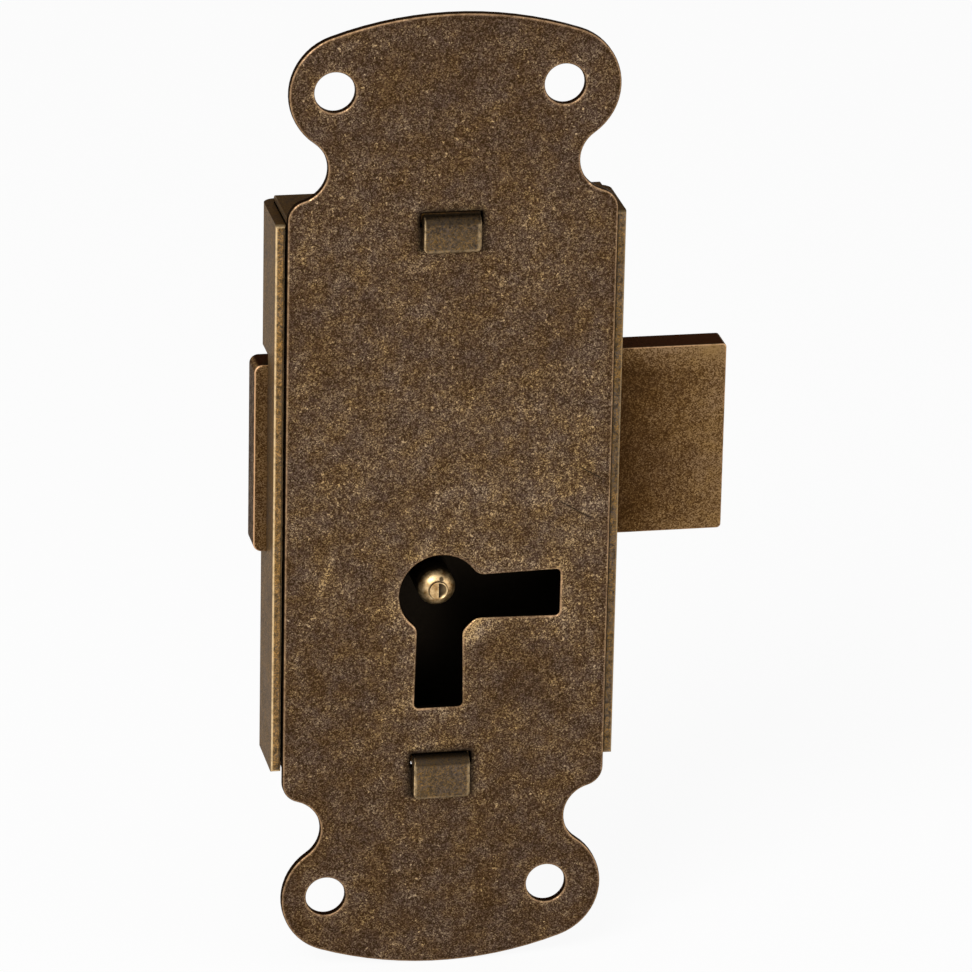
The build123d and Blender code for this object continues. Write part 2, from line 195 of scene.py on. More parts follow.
def case_wear_and_shade(tree, place):
    """The walls' front edges are rubbed to brass in blots, and their rims to pale metal.

    The tabs are bare along their sides and feet and mottled on their faces, with painted
    shade at the bend and across the upper tab's top. What faces up, the side walls' sheared
    ends among it, gets painted shade over the sheared ends' dark oxide, and the inside of the
    case gets painted shade.
    """
    at = add_node(tree, "SeparateXYZ", [place]).outputs
    along = facing(tree)
    on_tab = add_node(tree, "Math", [at["Y"], -0.5 * mm], operation="LESS_THAN")
    front = add_node(tree, "MapRange", [at["Y"], 0.5 * mm, 0.1 * mm])
    flat = add_node(tree, "MapRange", [along["Y"], -0.9, -0.98])
    blots = spots(tree, place, 0.5 * mm, 0.48, 0.6)

    # the left wall is rubbed more than the right one, and the tabs' film hardly at all
    wall_rub = add_node(tree, "MapRange", [at["X"], 1 * mm, -1 * mm, 0.3, 1])
    rub = add_node(tree, "Mix", {"Factor": on_tab, "A": wall_rub, "B": -0.1})
    rubbed = add_node(tree, "Math", [front, rub], operation="MULTIPLY")

    tab_rims = edge_bands(tree, along, [
        ("X", -0.2, -0.5, 1), ("X", 0.2, 0.5, 0.6), ("Z", -0.2, -0.5, 0.4)])
    rims = add_node(tree, "Mix", {"Factor": on_tab, "A": wall_rub, "B": tab_rims})
    for mask in (front_rims(tree), front):
        rims = add_node(tree, "Math", [rims, mask], operation="MULTIPLY")

    # the hammer has bared the tabs' faces too, along their sides and feet
    sides_and_lower_foot = edge_bands(tree, at, [
        ("X", tab_left + 0.25 * mm, tab_left, 0.7),
        ("X", tab_right - 0.2 * mm, tab_right, 0.35),
        ("Z", lower_foot + 0.2 * mm, lower_foot, 0.3)])
    foot = add_node(tree, "MapRange", [at["Z"], upper_foot + 0.25 * mm, upper_foot, 0, 0.3])
    upper_half = add_node(tree, "MapRange", [at["Z"], 0, 1 * mm])
    hammered = add_node(tree, "Math", [
        foot, upper_half, sides_and_lower_foot], operation="MULTIPLY_ADD")
    for mask in (on_tab, flat):
        hammered = add_node(tree, "Math", [hammered, mask], operation="MULTIPLY")
    bared = add_node(tree, "Math", [rims, hammered], operation="MAXIMUM")
    blotted = add_node(tree, "MapRange", [blots, 0, 1, 0.95, 0.6])
    bare = add_node(tree, "Math", [bared, blotted], operation="MULTIPLY")

    # painted shade lies in the tabs' bends and across the upper tab's top, oxide in mottles on the
    # tabs and in blots on the walls' edges, and painted shade on what faces up and inside the case
    mottled = spots(tree, place, 0.35 * mm, 0.42, 0.62, 0, 0.5)
    # painted shade across the upper tab's top, under its slot
    upper_tab_shade = add_node(tree, "MapRange", [
        at["Z"], upper_foot + 1.45 * mm, upper_foot + 3.05 * mm, 0, 0.45])
    mottled = add_node(tree, "Math", [mottled, upper_tab_shade], operation="ADD")
    # painted shade in the tabs' bends, which face up out of the slots
    bend = add_node(tree, "MapRange", [along["Z"], 0.03, 0.3, 0, 0.75])
    tab_oxide_and_shade = add_node(tree, "Math", [bend, mottled], operation="MAXIMUM")
    wall_oxide = add_node(tree, "MapRange", [blots, 0, 1, 0, 0.6])
    for mask in (front, flat):
        wall_oxide = add_node(tree, "Math", [wall_oxide, mask], operation="MULTIPLY")
    dark = add_node(tree, "Mix", {"Factor": on_tab, "A": wall_oxide, "B": tab_oxide_and_shade})
    # painted shade on every face that points up, over the dark oxide of the side walls' sheared
    # ends
    sheared = add_node(tree, "MapRange", [along["Z"], 0.25, 0.8, 0, 0.75])
    for mask in (sheared, painted_shade_inside_case(tree, at)):
        dark = add_node(tree, "Math", [dark, mask], operation="MAXIMUM")
    return rubbed, bare, dark


def painted_shade_inside_case(tree, at):
    """Painted shade inside the case: 1 within the walls and the back sheet, and on the inner skin
    of each.
    """
    middle = (case_low.x + case_high.x) / 2
    offset = add_node(tree, "Math", [at["X"], middle], operation="SUBTRACT")
    aside = add_node(tree, "Math", [offset], operation="ABSOLUTE")
    inside = 1
    for reading, comparison, limit in (
            (aside, "LESS_THAN", case_high.x - middle - outer_skin),
            (at["Y"], "LESS_THAN", case_high.y - outer_skin),
            (at["Y"], "GREATER_THAN", 0.3 * mm),
            (at["Z"], "LESS_THAN", case_high.z - outer_skin),
            (at["Z"], "GREATER_THAN", bottom_wall)):
        within = add_node(tree, "Math", [reading, limit], operation=comparison)
        inside = add_node(tree, "Math", [inside, within], operation="MULTIPLY")
    return inside


def finished_copy(node, name, body, material):
    """A rigid piece's own mesh with its triangles joined and its rounds shaded smooth."""
    shape = bmesh.new()
    shape.from_mesh(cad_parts[node].data)
    bmesh.ops.remove_doubles(shape, verts=shape.verts, dist=0.001 * mm)
    bmesh.ops.dissolve_degenerate(shape, edges=shape.edges, dist=0.001 * mm)
    mesh = bpy.data.meshes.new(name)
    shape.to_mesh(mesh)
    shape.free()
    # the imported corner normals no longer fit the joined triangles
    if mesh.has_custom_normals:
        mesh.attributes.remove(mesh.attributes["custom_normal"])
    mesh.shade_smooth()
    mesh.set_sharp_from_angle(angle=crease)
    piece = bpy.data.objects.new(name, mesh)
    scene.collection.objects.link(piece)
    mesh.materials.clear()
    mesh.materials.append(material)
    flats = piece.modifiers.new("even_flats", "WEIGHTED_NORMAL")
    flats.keep_sharp = True
    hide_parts(node)
    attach(piece, body)
    return piece


case_low, case_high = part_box("lock_case")
outer_skin = 0.63 * mm              # what shows from outside, of a sheet 0.9 mm thick
bottom_wall = -25.8 * mm            # half way into the bottom wall's thickness

# where the bared sides and feet of the two tabs end
tab_left, tab_right = -2.35 * mm, 2.65 * mm
upper_foot, lower_foot = 23.85 * mm, -29.2 * mm

crease = math.radians(35)           # flats that meet at more than this keep a sharp edge
case_tones = [
    (0.2, "#42362b"), (0.4, "#64574b"), (0.55, "#725e48"), (0.68, "#83673f"), (0.9, "#ba8f58")]
case_finish = antiqued("antiqued_brass_case", case_tones, "#f0cf9c", case_wear_and_shade, contrast=0.58)
case_piece = finished_copy("lock_case", "case_shell", "case", case_finish)


# Key pin: turned from brass bar, its domed tip parted off, riveted into the back sheet. The
# hollow key slides over it. The bright tip keeps the turning marks and the parted nib.
def turned_brass(name, base, dull, roughness, dirt_and_shade=None):
    """Turned brass with soft brown clouds of tarnish 0.9 mm wide and fine tool marks.

    dirt_and_shade(tree, place) gives a mask of brown dirt and painted shade, for a piece that has
    any.
    """
    material, tree = empty_material(name)
    place = add_node(tree, "TexCoord").outputs["Object"]
    clouds = add_node(tree, "TexNoise", {
        "Vector": place, "Scale": 1 / (0.9 * mm), "Detail": 4, "Roughness": 0.6})
    tarnish = add_node(tree, "MapRange", [clouds, 0.38, 0.66])
    colour = add_node(tree, "Mix", {
        "Factor": tarnish, "A": linear(base), "B": linear(dull)},
        data_type="RGBA").outputs["Result"]
    # dark brown for dirt, and for painted shade where the mask carries it
    if dirt_and_shade:
        colour = add_node(tree, "Mix", {
            "Factor": dirt_and_shade(tree, place), "A": colour, "B": linear("#1d140c")},
            data_type="RGBA").outputs["Result"]
    marks = add_node(tree, "TexNoise", {
        "Vector": place, "Scale": 1 / (0.12 * mm), "Detail": 2})
    grain = add_node(tree, "Bump", {
        "Height": marks, "Strength": 0.15, "Distance": 0.02 * mm})
    shader = add_node(tree, "BsdfPrincipled", {
        "Base Color": colour, "Metallic": 0.9, "Roughness": roughness, "Normal": grain})
    add_node(tree, "OutputMaterial", {"Surface": shader})
    return material


def pin_dirt_and_shade(tree, place):
    """Painted shadow in the hollow torn into the nib's right half, darkest along its wall.

    Painted shade also fills the groove round the nib, a nick above it and the pin's side,
    and brown dirt in spots darkens the dome's edge.
    """
    from_axis = add_node(tree, "Mapping", {
        "Vector": place, "Location": (-pin_x, 0, -pin_z), "Scale": (1, 0, 1)})
    at = add_node(tree, "SeparateXYZ", [from_axis]).outputs
    reach = add_node(tree, "VectorMath", [from_axis], operation="LENGTH").outputs["Value"]
    to_nick = add_node(tree, "VectorMath", [
        from_axis, (0.3 * mm, 0, 1.0 * mm)], operation="DISTANCE").outputs["Value"]

    # painted shadow in the hollow, darkest next to its wall
    hollow = add_node(tree, "MapRange", [reach, nib_radius - nib_round, torn_radius - 0.05 * mm])
    for limits in ([0, 0.02 * mm], [0.1 * mm, 0.8 * mm, 1, 0.75]):
        right = add_node(tree, "MapRange", [at["X"], *limits])
        hollow = add_node(tree, "Math", [hollow, right], operation="MULTIPLY")
    # painted shade in the groove round the nib
    groove_start = add_node(tree, "MapRange", [
        reach, nib_radius - 0.03 * mm, nib_radius + 0.02 * mm, 0, 0.7])
    groove_end = add_node(tree, "MapRange", [
        reach, nib_radius + 0.13 * mm, nib_radius + 0.05 * mm])
    groove = add_node(tree, "Math", [groove_start, groove_end], operation="MULTIPLY")
    # painted shade in a nick above the nib
    nick = add_node(tree, "MapRange", [to_nick, 0.28 * mm, 0.16 * mm, 0, 0.9])
    dirt_and_shade = hollow
    for mask in (groove, nick):
        dirt_and_shade = add_node(tree, "Math", [dirt_and_shade, mask], operation="MAXIMUM")
    depth = add_node(tree, "SeparateXYZ", [place]).outputs["Y"]
    at_tip = add_node(tree, "MapRange", [depth, pin_low.y + 2 * mm, pin_low.y + 1.5 * mm])
    dirt_and_shade = add_node(tree, "Math", [dirt_and_shade, at_tip], operation="MULTIPLY")

    # brown dirt in spots at the dome's edge
    edge = add_node(tree, "MapRange", [reach, 1.3 * mm, pin_radius, 0, 0.85])
    edge = add_node(tree, "Math", [
        edge, spots(tree, place, 0.5 * mm, 0.3, 0.55)], operation="MULTIPLY")
    # painted shade on the pin's side
    side = add_node(tree, "MapRange", [reach, pin_radius - 0.03 * mm, pin_radius, 0, 0.9])
    for mask in (edge, side):
        dirt_and_shade = add_node(tree, "Math", [dirt_and_shade, mask], operation="MAXIMUM")
    return dirt_and_shade


def new_piece(name, corners, faces, material):
    """A mesh object from corner and face arrays, its shallow bends shaded smooth."""
    mesh = bpy.data.meshes.new(name)
    mesh.from_pydata(corners, [], faces)
    mesh.validate()
    mesh.shade_smooth()
    mesh.set_sharp_from_angle(angle=crease)
    mesh.materials.append(material)
    piece = bpy.data.objects.new(name, mesh)
    scene.collection.objects.link(piece)
    return piece


def turned_surface(name, centre_x, centre_z, radii, depths, material):
    """A half profile (radius, depth) spun about a line along Y: x = r cos a, z = r sin a.

    The profile runs from the tip's centre outwards and to the rear, so its faces point out.
    """
    sides = 96
    angles = np.linspace(0, 2 * np.pi, sides, endpoint=False)
    rings = np.stack([
        centre_x + np.outer(radii[1:-1], np.cos(angles)),
        depths[1:-1, None] + np.zeros(sides),
        centre_z + np.outer(radii[1:-1], np.sin(angles)),
    ], axis=2).reshape(-1, 3)
    tip = [[centre_x, depths[0], centre_z]]
    rear = [[centre_x, depths[-1], centre_z]]
    corners = np.concatenate([rings, tip, rear])
    ring_count = len(radii) - 2
    column = np.arange(sides)
    following = (column + 1) % sides
    steps = np.arange(ring_count - 1)[:, None] * sides
    bands = np.stack([
        steps + column, steps + following, steps + sides + following, steps + sides + column,
    ], axis=2).reshape(-1, 4)
    last = (ring_count - 1) * sides
    tip_corner = np.full(sides, len(corners) - 2)
    rear_corner = np.full(sides, len(corners) - 1)
    tip_fan = np.stack([following, column, tip_corner], axis=1)
    rear_fan = np.stack([last + column, last + following, rear_corner], axis=1)
    faces = bands.tolist() + tip_fan.tolist() + rear_fan.tolist()
    return new_piece(name, corners, faces, material)


pin_low, pin_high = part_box("key_pin")
pin_x = (pin_low.x + pin_high.x) / 2
pin_z = (pin_low.z + pin_high.z) / 2
pin_radius = 1.75 * mm
nib_radius = 0.85 * mm
dome_rise = 1.1 * mm
dome_radius = (pin_radius**2 + dome_rise**2) / (2 * dome_rise)
nib_front = pin_low.y
dome_top = nib_front + 0.06 * mm
neck_radius = 1.19 * mm
head_radius = 1.9 * mm
back_front = 6.9 * mm
back_rear = 7.8 * mm
nib_round = 0.07 * mm
torn_radius = 0.75 * mm
torn_depth = 0.3 * mm
turn = np.linspace(0, np.pi / 2, 6)
nib_edge_radii = nib_radius - nib_round + nib_round * np.sin(turn)
nib_edge_depths = nib_front + nib_round * (1 - np.cos(turn))
dome_radii = np.linspace(nib_radius + 0.02 * mm, pin_radius, 24)
dome_depths = dome_top + dome_radius - np.sqrt(dome_radius**2 - dome_radii**2)
nib_rings = np.array([0, 0.05, 0.3, 0.55, 0.7, 0.76]) * mm
pin_radii = np.concatenate([
    nib_rings, nib_edge_radii, dome_radii,
    [pin_radius, neck_radius, neck_radius, head_radius, head_radius, head_radius - 0.2 * mm, 0]])
pin_depths = np.concatenate([
    np.full(len(nib_rings), nib_front), nib_edge_depths, dome_depths,
    [back_front, back_front, back_rear, back_rear, pin_high.y - 0.2 * mm, pin_high.y, pin_high.y]])
pin_brass = turned_brass("turned_brass_tip", "#f6d39c", "#8f6838", 0.42, pin_dirt_and_shade)
pin_piece = turned_surface("key_pin_turned", pin_x, pin_z, pin_radii, pin_depths, pin_brass)

# parting off has torn a hollow into the nib's right half
pin_corners = np.empty(len(pin_piece.data.vertices) * 3)
pin_piece.data.vertices.foreach_get("co", pin_corners)
pin_corners = pin_corners.reshape(-1, 3)
from_axis = np.hypot(pin_corners[:, 0] - pin_x, pin_corners[:, 2] - pin_z)
torn = (from_axis < torn_radius) & (pin_corners[:, 0] > pin_x + 0.01 * mm)
torn &= pin_corners[:, 1] < nib_front + 0.1 * mm
pin_corners[torn, 1] += torn_depth
pin_piece.data.vertices.foreach_set("co", pin_corners.ravel())
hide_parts("key_pin")
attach(pin_piece, "case")


# Guide stud, lever pivot and washer: plain steel turnings riveted into the back sheet, and a
# punched brass washer that spaces the levers off the cover plate.
def bare_steel(name, base, roughness):
    """Bright mild steel: grey, faintly brown from handling, with rolling marks 0.3 mm apart."""
    material, tree = empty_material(name)
    place = add_node(tree, "TexCoord").outputs["Object"]
    drawn = add_node(tree, "Mapping", {"Vector": place, "Scale": (0.12, 1, 1)})
    lines = add_node(tree, "TexNoise", {
        "Vector": drawn, "Scale": 1 / (0.3 * mm), "Detail": 3})
    stains = add_node(tree, "TexNoise", {
        "Vector": place, "Scale": 1 / (2 * mm), "Detail": 3})
    stained = add_node(tree, "MapRange", [stains, 0.45, 0.7, 0, 0.5])
    colour = add_node(tree, "Mix", {
        "Factor": stained, "A": linear(base), "B": linear("#5c4f42")}, data_type="RGBA")
    grain = add_node(tree, "Bump", {
        "Height": lines, "Strength": 0.2, "Distance": 0.02 * mm})
    shader = add_node(tree, "BsdfPrincipled", {
        "Base Color": colour.outputs["Result"], "Metallic": 1.0, "Roughness": roughness,
        "Normal": grain})
    add_node(tree, "OutputMaterial", {"Surface": shader})
    return material


bright_steel = bare_steel("bright_mild_steel", "#8d8780", 0.34)
for node in ("guide_stud", "lever_pivot"):
    fixing = finished_copy(node, f"{node}_bright", "case", bright_steel)
washer_brass = turned_brass("punched_brass_washer", "#d9b877", "#7d6034", 0.4)
washer_piece = finished_copy("pivot_washer", "pivot_washer_bright", "case", washer_brass)


# Bolt: blanked from 3 mm strip, plated and antiqued with the case. Its head face is brushed,
# its faces that point up get painted shade over the sheared top edge's dark oxide, and it is
# darker towards the case.
def bolt_wear_and_shade(tree, place):
    """Rims rubbed to copper, the tail's most of all; what faces up gets painted shade over the
    sheared top edge's dark oxide, and the tail's end stays dark and pitted.

    The head is brushed lighter along its top, its bottom and its end, the tail towards the
    case, and the head is darker towards the case.
    """
    at = add_node(tree, "SeparateXYZ", [place]).outputs
    along = facing(tree)
    on_head = add_node(tree, "MapRange", [at["X"], 0, 1 * mm])
    # the head is darker towards the case, and lighter along its end, top and bottom
    head_rub = edge_bands(tree, at, [
        ("X", case_high.x + 5 * mm, case_high.x - 0.5 * mm, -1.4),
        ("X", bolt_high.x - 6 * mm, bolt_high.x - 1 * mm, 1.1),
        ("Z", bolt_high.z - 2.6 * mm, bolt_high.z - 0.4 * mm, 1.7),
        ("Z", bolt_low.z + 2.5 * mm, bolt_low.z + 0.5 * mm, 0.6)])
    rubbed = add_node(tree, "Math", [on_head, head_rub], operation="MULTIPLY")
    on_tail = add_node(tree, "MapRange", [at["X"], 0, -1 * mm])
    tail_rub = add_node(tree, "MapRange", [
        at["X"], bolt_low.x + 0.3 * mm, bolt_low.x + 1.3 * mm, 0.4, 1.6])
    rubbed = add_node(tree, "Math", [on_tail, tail_rub, rubbed], operation="MULTIPLY_ADD")

    patchy = spots(tree, place, 1.2 * mm, 0.35, 0.6, 0, 0.6)
    tail_rim = add_node(tree, "MapRange", [along["X"], -0.2, -0.5])
    worn_away = add_node(tree, "Math", [patchy, tail_rim], operation="MAXIMUM")
    bare = add_node(tree, "Math", [front_rims(tree), worn_away], operation="MULTIPLY")

    # painted shade on the faces that point up, over the sheared top edge's dark oxide
    top = add_node(tree, "MapRange", [along["Z"], 0.7, 0.9, 0, 0.95])
    tail_end = add_node(tree, "MapRange", [along["X"], -0.8, -0.95])
    pitted = add_node(tree, "Math", [
        tail_end, spots(tree, place, 0.5 * mm, 0.4, 0.6, 0.15, 0.8)], operation="MULTIPLY")
    dark = add_node(tree, "Math", [top, pitted], operation="MAXIMUM")
    return rubbed, bare, dark


bolt_low, bolt_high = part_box("bolt")
bolt_tones = [
    (0.12, "#3a260f"), (0.36, "#463019"), (0.52, "#543d25"), (0.68, "#674f33"), (0.95, "#8f7556")]
bolt_finish = antiqued(
    "antiqued_brass_bolt", bolt_tones, "#e0b184", bolt_wear_and_shade, contrast=0.92, cool="#faf4ee")
bolt_piece = finished_copy("bolt", "bolt_plate", "bolt", bolt_finish)
stump_piece = finished_copy("bolt_stump", "bolt_stump_bright", "bolt", bright_steel)


# Levers: two steel pressings that turn on the pivot, each with a gate for the bolt's stump,
# and a strip spring caulked into its back that presses against the case's top wall.
def leaf_surface(name, x_points, z_points, front, width, thickness, material):
    """A strip of rectangular section carried along a smooth path in the XZ plane.

    The path is sampled evenly; at each sample the section is set square to the path.
    """
    path = np.stack([x_points, z_points], axis=1)
    along = np.gradient(path, axis=0)
    along /= np.linalg.norm(along, axis=1, keepdims=True)
    across = np.stack([-along[:, 1], along[:, 0]], axis=1)
    sides = [(-1, 0), (1, 0), (1, 1), (-1, 1)]
    corners = np.concatenate([
        np.stack([
            path[:, 0] + across[:, 0] * side * thickness / 2,
            np.full(len(path), front + rear * width),
            path[:, 1] + across[:, 1] * side * thickness / 2,
        ], axis=1)
        for side, rear in sides
    ])
    count = len(path)
    step = np.arange(count - 1)
    strips = [
        np.stack([
            a * count + step, a * count + step + 1, b * count + step + 1, b * count + step,
        ], axis=1)
        for a, b in ((1, 0), (2, 1), (3, 2), (0, 3))
    ]
    ends = [[0, count, 2 * count, 3 * count][::-1],
            [count - 1, 2 * count - 1, 3 * count - 1, 4 * count - 1]]
    faces = np.concatenate(strips).tolist() + ends
    return new_piece(name, corners, faces, material)


def rounded_path(points, radius, step):
    """Straight runs with each corner turned by an arc, resampled at even steps.

    At a corner the arc starts and ends radius * tan(half the turn) away from it.
    """
    stretches = [points[0][None]]
    for before, corner, after in zip(points, points[1:], points[2:]):
        into = (corner - before) / np.linalg.norm(corner - before)
        out = (after - corner) / np.linalg.norm(after - corner)
        half_turn = np.arccos(np.clip(into @ out, -1, 1)) / 2
        reach = radius * np.tan(half_turn)
        centre = corner + (out - into) / np.linalg.norm(out - into) * radius / np.cos(half_turn)
        start, end = corner - into * reach - centre, corner + out * reach - centre
        share = np.linspace(0, 1, 13)[:, None]
        turn = 2 * half_turn
        arc = (np.sin((1 - share) * turn) * start + np.sin(share * turn) * end) / np.sin(turn)
        stretches.append(centre + arc)
    line = np.concatenate(stretches + [points[-1][None]])
    gone = np.concatenate([[0], np.cumsum(np.linalg.norm(np.diff(line, axis=0), axis=1))])
    at = np.linspace(0, gone[-1], int(gone[-1] / step) + 1)
    return np.interp(at, gone, line[:, 0]), np.interp(at, gone, line[:, 1])


lever_steel = bare_steel("pressed_steel_lever", "#847b70", 0.4)
spring_steel = bare_steel("blued_spring_steel", "#4d4f57", 0.3)
leaf = 0.35 * mm
slit_x = -4.0 * mm
knee_rise = 1.6 * mm
bend = 1.5 * mm
for side in ("front", "rear"):
    lever_piece = finished_copy(
        f"lever_{side}", f"lever_{side}_pressed", f"{side}_lever", lever_steel)
    spring_low, spring_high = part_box(f"lever_spring_{side}")
    lever_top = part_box(f"lever_{side}")[1].z
    wall_z = spring_high.z - leaf / 2
    corners = np.array([
        (slit_x, spring_low.z), (slit_x, lever_top + knee_rise),
        (spring_high.x - 2 * mm, wall_z), (spring_high.x, wall_z)])
    x_points, z_points = rounded_path(corners, bend, 0.2 * mm)
    spring_piece = leaf_surface(
        f"lever_spring_{side}_leaf", x_points, z_points, spring_low.y,
        spring_high.y - spring_low.y, leaf, spring_steel)
    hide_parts(f"lever_spring_{side}")
    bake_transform(spring_piece)


# Cover plate: blanked and pierced 0.8 mm steel, brass plated and antiqued. The punch has rolled
# its front rims over; they are rubbed to copper and brass, with painted highlights on the
# keyhole's rim, and the keyhole wears a paler halo. Painted light and shade lie over the face.
def rear_rims(node):
    """The loops that bound the flat rear face of a node's mesh, the longest one first.

    Edges with one rear-facing triangle bound the face; a curve made of them orders them.
    """
    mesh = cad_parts[node].data
    mesh.calc_loop_triangles()
    corners = np.empty(len(mesh.vertices) * 3)
    mesh.vertices.foreach_get("co", corners)
    triangles = np.empty(len(mesh.loop_triangles) * 3, dtype=int)
    mesh.loop_triangles.foreach_get("vertices", triangles)
    places, shared = np.unique(np.round(corners.reshape(-1, 3), 7), axis=0, return_inverse=True)
    triangles = shared.reshape(-1)[triangles].reshape(-1, 3)
    rear = (places[triangles, 1] > places[:, 1].max() - 0.001 * mm).all(axis=1)
    sides = triangles[rear][:, [0, 1, 1, 2, 2, 0]].reshape(-1, 2)
    pairs, uses = np.unique(np.sort(sides, axis=1), axis=0, return_counts=True)
    outline = bpy.data.meshes.new("rims")
    outline.from_pydata(places, pairs[uses == 1].tolist(), [])
    holder = bpy.data.objects.new("rims", outline)
    scene.collection.objects.link(holder)
    bpy.ops.object.select_all(action="DESELECT")
    holder.select_set(True)
    bpy.context.view_layer.objects.active = holder
    bpy.ops.object.convert(target="CURVE")
    loops = []
    for spline in holder.data.splines:
        points = np.empty(len(spline.points) * 4)
        spline.points.foreach_get("co", points)
        loops.append(points.reshape(-1, 4)[:, [0, 2]])
    bpy.data.objects.remove(holder)
    return sorted(loops, key=around, reverse=True)


def around(loop):
    """The length of a closed loop of points."""
    return np.linalg.norm(np.roll(loop, -1, axis=0) - loop, axis=1).sum()


def even_loop(loop, step, inwards):
    """A closed loop resampled at even steps, with unit normals into the metal.

    The normals are the tangents turned by a right angle, averaged over five neighbours so
    that the short chords of an arc shade as one curve. inwards is 1 for the plate's own
    outline and -1 for a hole, whose metal lies outside it.
    """
    closed = np.concatenate([loop, loop[:1]])
    gone = np.concatenate([[0], np.cumsum(np.linalg.norm(np.diff(closed, axis=0), axis=1))])
    at = np.linspace(0, gone[-1], max(48, int(gone[-1] / step)), endpoint=False)
    points = np.stack([
        np.interp(at, gone, closed[:, 0]), np.interp(at, gone, closed[:, 1])], axis=1)
    x, z = points.T
    area = (x * np.roll(z, -1) - np.roll(x, -1) * z).sum()
    if area < 0:
        points = points[::-1]
    along = np.roll(points, -1, axis=0) - np.roll(points, 1, axis=0)
    normals = np.stack([-along[:, 1], along[:, 0]], axis=1) * inwards
    normals = sum(np.roll(normals, shift, axis=0) for shift in (-2, -1, 0, 1, 2))
    return points, normals / np.linalg.norm(normals, axis=1, keepdims=True)


def rim_surface(points, normals, insets, depths, first):
    """The rings of an edge profile carried round a loop, and the quads between them."""
    rings = points[None] + normals[None] * insets[:, None, None]
    corners = np.stack([rings[..., 0], np.broadcast_to(depths[:, None], rings.shape[:2]),
                        rings[..., 1]], axis=2).reshape(-1, 3)
    count = len(points)
    column = np.arange(count)
    following = (column + 1) % count
    steps = first + np.arange(len(insets) - 1)[:, None] * count
    quads = np.stack([steps + column, steps + following, steps + count + following,
                      steps + count + column], axis=2).reshape(-1, 4)
    return corners, quads


def inside_loops(places, loops):
    """True where a point lies in the metal: a ray from it crosses the loops an odd number."""
    crossings = np.zeros(len(places), dtype=int)
    for loop in loops:
        ahead = np.roll(loop, -1, axis=0)
        spans = (loop[:, 1] > places[:, 1:]) != (ahead[:, 1] > places[:, 1:])
        rise = np.where(ahead[:, 1] == loop[:, 1], 1, ahead[:, 1] - loop[:, 1])
        reach = loop[:, 0] + (places[:, 1:] - loop[:, 1]) / rise * (ahead[:, 0] - loop[:, 0])
        crossings += (spans & (places[:, :1] < reach)).sum(axis=1)
    return crossings % 2 == 1


def gap_to(places, loop_points):
    """The distance from each place to the nearest of the loop points, in blocks of rows."""
    nearest = [
        np.sqrt(((block[:, None] - loop_points[None]) ** 2).sum(axis=2).min(axis=1))
        for block in np.array_split(places, max(1, len(places) // 500))
    ]
    return np.concatenate(nearest)


def filled(loops, spacing, margin):
    """A flat field of triangles between loops, over a grid of inner points."""
    edge_points = np.concatenate(loops)
    low, high = edge_points.min(axis=0), edge_points.max(axis=0)
    grid = np.stack(np.meshgrid(
        np.arange(low[0], high[0], spacing), np.arange(low[1], high[1], spacing)), axis=2)
    grid = grid.reshape(-1, 2)
    grid = grid[inside_loops(grid, loops)]
    grid = grid[gap_to(grid, edge_points) > margin]
    starts = np.cumsum([0] + [len(loop) for loop in loops])
    edges = []
    for start, loop in zip(starts, loops):
        column = np.arange(len(loop))
        edges.append(start + np.stack([column, np.roll(column, -1)], axis=1))
    flat = np.concatenate([edge_points, grid]) / mm
    places, _, triangles, _, _, _ = delaunay_2d_cdt(
        flat.tolist(), np.concatenate(edges).tolist(), [], 2, 1e-6)
    places, triangles = np.array(places) * mm, np.array(triangles)
    return places, triangles[inside_loops(places[triangles].mean(axis=1), loops)]


plate_low, plate_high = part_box("cover_plate")
plate_front = plate_low.y
rim_step = 0.14 * mm
quarter = np.linspace(0, np.pi / 2, 8)
small_quarter = np.linspace(0, np.pi / 2, 4)
rolled_width = {"outline": 0.26 * mm, "hole": 0.2 * mm}
rolled_depth = 0.24 * mm
rear_break = 0.07 * mm


def edge_profile(width):
    """Insets and depths across an edge, from the rear face round to the front face.

    A small rear quarter round, the sheared side, then the quarter ellipse that the punch
    has rolled, and three narrow flat bands.
    """
    insets = np.concatenate([
        rear_break * (1 - np.sin(small_quarter)), width * (1 - np.cos(quarter)),
        width + np.array([0.08, 0.18, 0.3]) * mm])
    depths = np.concatenate([
        plate_high.y - rear_break * (1 - np.cos(small_quarter)),
        plate_front + rolled_depth * (1 - np.sin(quarter)),
        np.full(3, plate_front)])
    return insets, depths


rims = rear_rims("cover_plate")
parts, quads, front_loops, rear_loops, evened = [], [], [], [], []
first = 0
for index, rim in enumerate(rims):
    points, normals = even_loop(rim, rim_step, 1 if index == 0 else -1)
    insets, depths = edge_profile(rolled_width["outline" if index == 0 else "hole"])
    corners, bands = rim_surface(points, normals, insets, depths, first)
    parts.append(corners)
    quads.append(bands if index == 0 else bands[:, ::-1])
    front_loops.append(points + normals * insets[-1])
    rear_loops.append(points + normals * insets[0])
    evened.append(points)
    first += len(corners)
front_places, front_triangles = filled(front_loops, 0.5 * mm, 0.3 * mm)
rear_places, rear_triangles = filled(rear_loops, 3 * mm, 2 * mm)
front_field = np.stack([
    front_places[:, 0], np.full(len(front_places), plate_front), front_places[:, 1]], axis=1)
rear_field = np.stack([
    rear_places[:, 0], np.full(len(rear_places), plate_high.y), rear_places[:, 1]], axis=1)
front_faces = first + front_triangles
rear_faces = first + len(front_field) + rear_triangles
plate_corners = np.concatenate(parts + [front_field, rear_field])
plate_faces = np.concatenate(quads).tolist() + front_faces.tolist() + rear_faces.tolist()
shape = bmesh.new()
loose = bpy.data.meshes.new("plate_parts")
loose.from_pydata(plate_corners, [], plate_faces)
shape.from_mesh(loose)
bmesh.ops.remove_doubles(shape, verts=shape.verts, dist=0.002 * mm)
